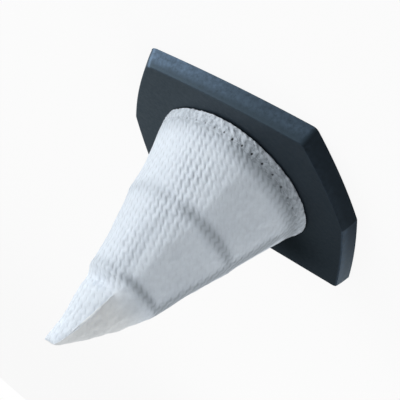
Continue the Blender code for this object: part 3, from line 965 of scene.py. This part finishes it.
def waleStrength(z, turn, across, along):
    # How far the wales stand out: by heading on the cone, by side on the tip, less towards both of their ends
    share, onTip, onFlap = tipSides(z, turn)
    onSide = tip["bellyRelief"] + (tip["flapRelief"] - tip["bellyRelief"]) * onFlap
    lively = (byHeading(sleeve["reliefs"], turn) + 0.0 * z) * (1.0 - onTip) + onTip * onSide
    lively = lively * (1.0 - 0.8 * rise(share, 0.86, 0.14))
    lively = lively * (1.0 + sum(part * softWaves(across, along, size, seed)
                                 for part, size, seed in sleeve["clouds"]))
    return np.maximum(lively * (1.0 - 0.28 * rise(z, 0.042, 0.018) * (1.0 - onTip)), 0.0)


def clothRelief(z, turn, across, along, lively):
    # Height over the smooth cloth: zigzag wales, soft waves, bells for the wrinkles and the needle holes, and
    # the closing seam
    share, onTip, onFlap = tipSides(z, turn)
    relief = zigzag["depth"] * lively * zigzagCells(across, along)
    places = {"all": 1.0, "belly": onTip * (1.0 - onFlap), "hem": hemShare(z)}
    for place, height, size, seed, count in sleeve["waves"]:
        relief = relief + height * places[place] * softWaves(across, along, size, seed, count)
    for height, heading, swell in tip["wrinkles"]:
        away = awayFrom(heading, turn) + 45.0 * (z - height)
        relief = relief + swell * bump(z - height, 0.0022) * bump(away, 0.09)
    numbers = needleNumbers(turn)
    beside = (numbers - np.round(numbers)) * needle["pitch"]
    relief = relief - needle["depth"] * bump(np.hypot(beside, z - needle["height"]), needle["dentWidth"])
    seamAway = np.abs(turnBetween(turn, sleeve["seamAngle"])) * coneRadius(np.minimum(z, tip["start"]))
    seam = rise(seamAway, sleeve["seamWidth"], -0.0005) * (1.0 - share)
    return relief * (1.0 - 0.7 * seam) + sleeve["seamHeight"] * seam


def ring(radius, height, angle):
    # Points round the axis, whose radius and height may change with the angle
    return np.column_stack([radius * np.cos(angle), radius * np.sin(angle), height + 0.0 * angle])


def hemRows(firstRow, firstHeight, turnTop, angle):
    # From the top of the inner turn down, then a quarter round at the edge, out to the outside's first row
    turnRadius, roll = sleeve["turnRadius"], sleeve["edgeRoll"]
    rows = [ring(turnRadius, turnTop, angle), ring(turnRadius, hemEdgeZ + 0.0004, angle),
            ring(turnRadius + 0.0003, hemEdgeZ, angle)]
    firstRadius = np.hypot(firstRow[:, 0], firstRow[:, 1] - lean(firstHeight))
    lowest = hemEdgeZ + sleeve["edgeLift"] * hemFlare(angle)
    for turn in np.radians([0.0, 25.0, 50.0, 72.0]):
        height = np.minimum(lowest + roll * (1.0 - math.cos(turn)), firstHeight - 0.00005)
        edge = ring(firstRadius - roll + roll * math.sin(turn), height, angle)
        edge[:, 1] += lean(height)
        rows.append(edge)
    return np.array(rows)


def closeTip(points, lastOutside):
    # The outside's last row and the inside's first row each close along the middle of the lens: points that
    # face each other meet, and the faces share the first of each two
    rows, columns = points.shape[:2]
    mirror = int(round(2.0 * (foldAngle(1.0) - sleeve["seamAngle"]) / (2.0 * np.pi) * columns))
    partner = (mirror - np.arange(columns)) % columns
    order = np.arange(rows * columns).reshape(rows, columns)
    for row in (lastOutside, lastOutside + 1):
        points[row] = 0.5 * (points[row] + points[row][partner])
        order[row] = order[row][np.minimum(np.arange(columns), partner)]
    return order


def addPlaces(mesh, name, low, high, keep):
    # A UV layer from the places at both ends of each face's lower edge; the upper edge is the next row's
    corners = np.stack([low, high, np.roll(high, -1, axis=0), np.roll(low, -1, axis=0)], axis=2)
    layer = mesh.uv_layers.new(name=name)
    layer.data.foreach_set("uv", corners[keep].astype(np.float32).ravel())


def buildSleeve():
    # One closed grid of rows: the hem's turn, the outside, the inside, and the back of the inner turn
    columns = sleeve["columns"]
    angle = sleeve["seamAngle"] + fullTurn(columns)
    outside, inside = sleeveRows()
    z, turn = outside[:, None], angle[None, :]
    body = clothPoints(z, turn, 0.0)
    normal = gridNormals(body)
    flatWide = flatPlaces(body, outside)
    across, along = flatWide[:, :-1, 0], flatWide[:, :-1, 1]
    lively = waleStrength(z, turn, across, along)
    body = body + normal * clothRelief(z, turn, across, along, lively)[..., None]
    turnTop = needle["height"] - 0.0003
    hem = hemRows(body[0], outside[0], turnTop, angle)
    inner = clothPoints(inside[:, None], turn, sleeve["thickness"])
    backRadius = sleeve["turnRadius"] + sleeve["turnThickness"]
    back = np.array([ring(backRadius, height, angle)
                     for height in (hemEdgeZ + sleeve["turnThickness"], turnTop)])

    # Faces between all rows except the two that close the tip
    points = np.concatenate([hem, body, inner, back])
    rows = len(points)
    outer = slice(len(hem), len(hem) + len(outside))
    order = closeTip(points, outer.stop - 1)
    keep = np.arange(rows) != outer.stop - 1
    faces = gridFaces(rows, columns, closedRows=True).reshape(rows, columns, 4)[keep].reshape(-1, 4)
    used, renamed = np.unique(order.reshape(-1)[faces], return_inverse=True)
    mesh = meshFrom("cloth_sleeve", points.reshape(-1, 3)[used], renamed.reshape(-1, 4))

    # Values for the material: those of the outside, and one number for all other rows
    share, onTip, onFlap = tipSides(z, turn)
    opened = turnBetween(turn, needle["openHeading"])
    bunched = 0.75 + 0.5 * bump(opened, math.radians(45.0))
    openHoles = needle["openLeast"] + (1.0 - needle["openLeast"]) * bump(opened, needle["openSpread"])
    values = {
        "cageShade": (cageShade(z, turn) * (1.0 - smoothStep(share * 6.0)), 0.0),
        "waleRelief": (lively, 0.5),
        "lining": (smoothStep(2.5 * share) * (1.0 - onFlap), 0.0),
        "gathered": (rise(z, needle["height"] + 0.0026, -0.002) * bunched, 1.0),
        "pitted": (byHeading(sleeve["pits"], turn) * (1.0 - onTip) + 0.7 * onTip * onFlap, 0.0),
        "openHoles": (openHoles, 0.0)}
    for name, (onOutside, elsewhere) in values.items():
        whole = np.full((rows, columns), elsewhere)
        whole[outer] = onOutside
        addValues(mesh, name, whole.reshape(-1)[used])

    # Places in the flat cloth, where other rows take those of an outside row, and along the needle line
    nearest = np.argmin(np.abs(outside[None, :] - inside[:, None]), axis=1)
    source = np.concatenate([np.zeros(len(hem), int), np.arange(len(outside)), nearest,
                             np.zeros(len(back), int)])
    wide = flatWide[source]
    heights = np.full(rows, 1.0)
    heights[outer] = outside - needle["height"]
    numbers = needleNumbers(angle)
    following = numbers - 1.0 + (np.roll(numbers, -1) - numbers + 1.0) % needle["count"]
    line = [np.stack(np.broadcast_arrays(number[None, :], heights[:, None]), axis=-1)
            for number in (numbers, following)]
    for name, ends in (("flatCloth", (wide[:, :-1], wide[:, 1:])), ("needleLine", line)):
        addPlaces(mesh, name, *ends, keep)
    piece = addPiece("cloth_sleeve", mesh, cloth)
    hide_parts("filter_sleeve")
    return piece, points[outer], normal, outside, angle


clothSleeve, bodyPoints, bodyNormals, bodyHeights, bodyAngles = buildSleeve()
print("Sleeve built:", len(clothSleeve.data.polygons), "faces")


# Needle line: each stitch is a short thread that dips into a hole at both ends

stitch = {"radius": 0.00013, "proud": -0.00007, "sink": 0.0004, "share": 0.92, "steps": 9, "sides": 8}


def buildStitches():
    # A tube of circles carried along each stitch: an arch over the needle line, thinner at its ends
    row = int(np.argmin(np.abs(bodyHeights - needle["height"])))
    order = np.argsort(bodyAngles)
    holes = needleAngles()
    steps, sides = stitch["steps"], stitch["sides"]
    points, faces = [], []
    for index, start in enumerate(holes):
        step = (start - holes[(index + 1) % len(holes)]) % (2.0 * np.pi)
        share = np.linspace(0.0, 1.0, steps)
        heading = start - step * (0.5 + (share - 0.5) * stitch["share"])
        wrapped = (heading - bodyAngles[0]) % (2.0 * np.pi) + bodyAngles[0]
        line, up = (
            np.stack([np.interp(wrapped, bodyAngles[order], table[row, order, k]) for k in range(3)], axis=1)
            for table in (bodyPoints, bodyNormals))
        arch = np.sin(np.pi * share) ** 0.5
        height = (stitch["proud"] + stitch["sink"]) * arch - stitch["sink"]
        centre = line + up * (height + 0.3 * stitch["radius"])[:, None]
        ahead = unit(np.gradient(centre, axis=0))
        side = unit(np.cross(ahead, up))
        upright = np.cross(side, ahead)
        width = stitch["radius"] * (0.45 + 0.55 * arch)
        turn = fullTurn(sides)
        tube = (centre[:, None] + side[:, None] * (width[:, None] * np.cos(turn))[..., None]
                + upright[:, None] * (width[:, None] * np.sin(turn))[..., None])
        base = index * steps * sides
        points.append(tube.reshape(-1, 3))
        faces.append(gridFaces(steps, sides) + base)
    mesh = meshFrom("hem_stitches", np.concatenate(points), np.concatenate(faces))
    return addPiece("hem_stitches", mesh, thread)


hemStitches = buildStitches()


# Elastic in the hem's channel: a ring whose covering thread winds round it

elastic = {"segments": 360, "sides": 12, "winds": 90, "relief": 0.05}


def buildElastic():
    # A torus whose small radius swells by a cosine that winds round it
    small = 0.5 * (elasticHigh.z - elasticLow.z)
    large = elasticHigh.x - small
    middle = (elasticLow + elasticHigh) / 2
    around, turn = fullTurn(elastic["segments"])[:, None], fullTurn(elastic["sides"])[None, :]
    thick = small * (1.0 - elastic["relief"] + elastic["relief"] * np.cos(elastic["winds"] * around + turn))
    radius = large + thick * np.cos(turn)
    points = np.stack([middle.x + radius * np.cos(around), middle.y + radius * np.sin(around),
                       middle.z + thick * np.sin(turn)], axis=-1)
    faces = gridFaces(elastic["segments"], elastic["sides"], closedRows=True)[:, ::-1]
    piece = addPiece("covered_elastic", meshFrom("covered_elastic", points, faces), thread)
    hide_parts("hem_elastic")
    return piece


coveredElastic = buildElastic()

# The sleeve is cut as a sector of flat cloth, closed by one seam
print("Stitches and elastic built")


# Floor, world, lights and camera

studio = {
    "floorSize": 40.0,
    "floorZ": -0.00005,
    "floorColour": (0.90, 0.90, 0.90, 1.0),
    "floorRoughness": 0.9,
    "backdrop": 1.0,                 # brightness that the camera sees round the part
    "floorGlow": 0.90,               # share of the floor's picture that is plain backdrop
    "ambient": 0.46,
    # Where a gloss shows the white backdrop: the way to the bright side, where it is dark and where bright,
    # and how dark it gets
    "brightSide": ((-0.8, 0.6, 0.0), -0.42, 0.21, 0.01),
    "floorBrightSide": ((-0.94, -0.34, 0.0), -0.92, -0.35, 0.14),
    "glossColour": (0.82, 0.93, 1.0, 1.0),
    "lampAim": (0.0, 0.0, 0.04),
}

view = {
    "place": (0.10665, 0.21198, 0.11340),
    "aim": (-0.00059, 0.00450, 0.02423),
    "rollDegrees": -138.78,
    "lens": 63.0,
    "sensor": 36.0,
    "clip": (0.01, 200.0),
}


def seenShares(tree):
    # 1 for rays that show the background: those from the camera or through glass, and those off a gloss
    path = put(tree, "ShaderNodeLightPath").outputs
    return math2(tree, "MAXIMUM", path["Is Camera Ray"], path["Is Transmission Ray"]), path["Is Glossy Ray"]


def glossLook(tree, way, brightSide, plain, glossy):
    # Brightness and colour in a direction: a gloss shows the white backdrop, darker away from the bright
    # side, and other rays get the plain brightness
    side, dark, bright, least = brightSide
    facing = put(tree, "ShaderNodeVectorMath", {0: way, 1: side}, operation="DOT_PRODUCT")
    shown = mapRange(tree, facing.outputs["Value"], dark, bright, least, studio["backdrop"])
    colour = blendColour(tree, glossy, (1.0, 1.0, 1.0, 1.0), studio["glossColour"])
    return blendNumber(tree, glossy, plain, shown), colour


def buildFloor():
    size, low = studio["floorSize"], studio["floorZ"]
    corners = [(-size, -size, low), (size, -size, low), (size, size, low), (-size, size, low)]
    mesh = meshFrom("floor", corners, [(0, 1, 2, 3)])
    made, tree, shader = newMaterial("paleFloor")
    feed(tree, shader, {"Base Color": studio["floorColour"], "Roughness": studio["floorRoughness"],
                        "Specular IOR Level": 0.0})
    seen, glossy = seenShares(tree)
    way = put(tree, "ShaderNodeVectorMath", {0: objectPlace(tree)}, operation="NORMALIZE").outputs[0]
    level, colour = glossLook(tree, way, studio["floorBrightSide"], studio["backdrop"], glossy)
    glow = put(tree, "ShaderNodeEmission", {"Color": colour, "Strength": level})
    share = math2(tree, "MAXIMUM", times(tree, seen, studio["floorGlow"]), glossy)
    mix = put(tree, "ShaderNodeMixShader", {0: share, 1: shader.outputs[0], 2: glow.outputs[0]})
    feed(tree, tree.nodes["Material Output"], {"Surface": mix.outputs[0]})
    mesh.materials.append(made)
    floor = addObject("floor", mesh)


def buildWorld():
    world = bpy.data.worlds.new("studio")
    bpy.context.scene.world = world
    world.use_nodes = True
    tree = world.node_tree
    seen, glossy = seenShares(tree)
    way = put(tree, "ShaderNodeTexCoord").outputs["Generated"]
    lit, colour = glossLook(tree, way, studio["brightSide"], studio["ambient"], glossy)
    strength = blendNumber(tree, seen, lit, studio["backdrop"])
    feed(tree, tree.nodes["Background"], {"Color": colour, "Strength": strength})


def buildLamp(name, power, size, heading, height, distance, inGloss):
    lamp = bpy.data.lights.new(name, "AREA")
    lamp.energy = power
    lamp.shape = "DISK"
    lamp.size = size
    holder = addObject(name, lamp)
    turn, rise = math.radians(heading), math.radians(height)
    way = Vector((math.cos(turn) * math.cos(rise), math.sin(turn) * math.cos(rise), math.sin(rise)))
    holder.location = Vector(studio["lampAim"]) + way * distance
    holder.visible_glossy = inGloss
    holder.rotation_euler = (-way).to_track_quat("-Z", "Y").to_euler()


def buildCamera():
    data = bpy.data.cameras.new("camera")
    data.lens = view["lens"]
    data.sensor_width = view["sensor"]
    data.clip_start, data.clip_end = view["clip"]
    holder = addObject("camera", data)
    place, aim = Vector(view["place"]), Vector(view["aim"])
    level = (aim - place).to_track_quat("-Z", "Y").to_matrix()
    turned = level @ Matrix.Rotation(math.radians(view["rollDegrees"]), 3, "Z")
    holder.location = place
    holder.rotation_euler = turned.to_euler()
    bpy.context.scene.camera = holder


buildFloor()
buildWorld()
for lampName, lampValues in lamps.items():
    buildLamp(lampName, *lampValues)
buildCamera()
bpy.context.scene.view_settings.view_transform = "Standard"
print("Studio and camera set")
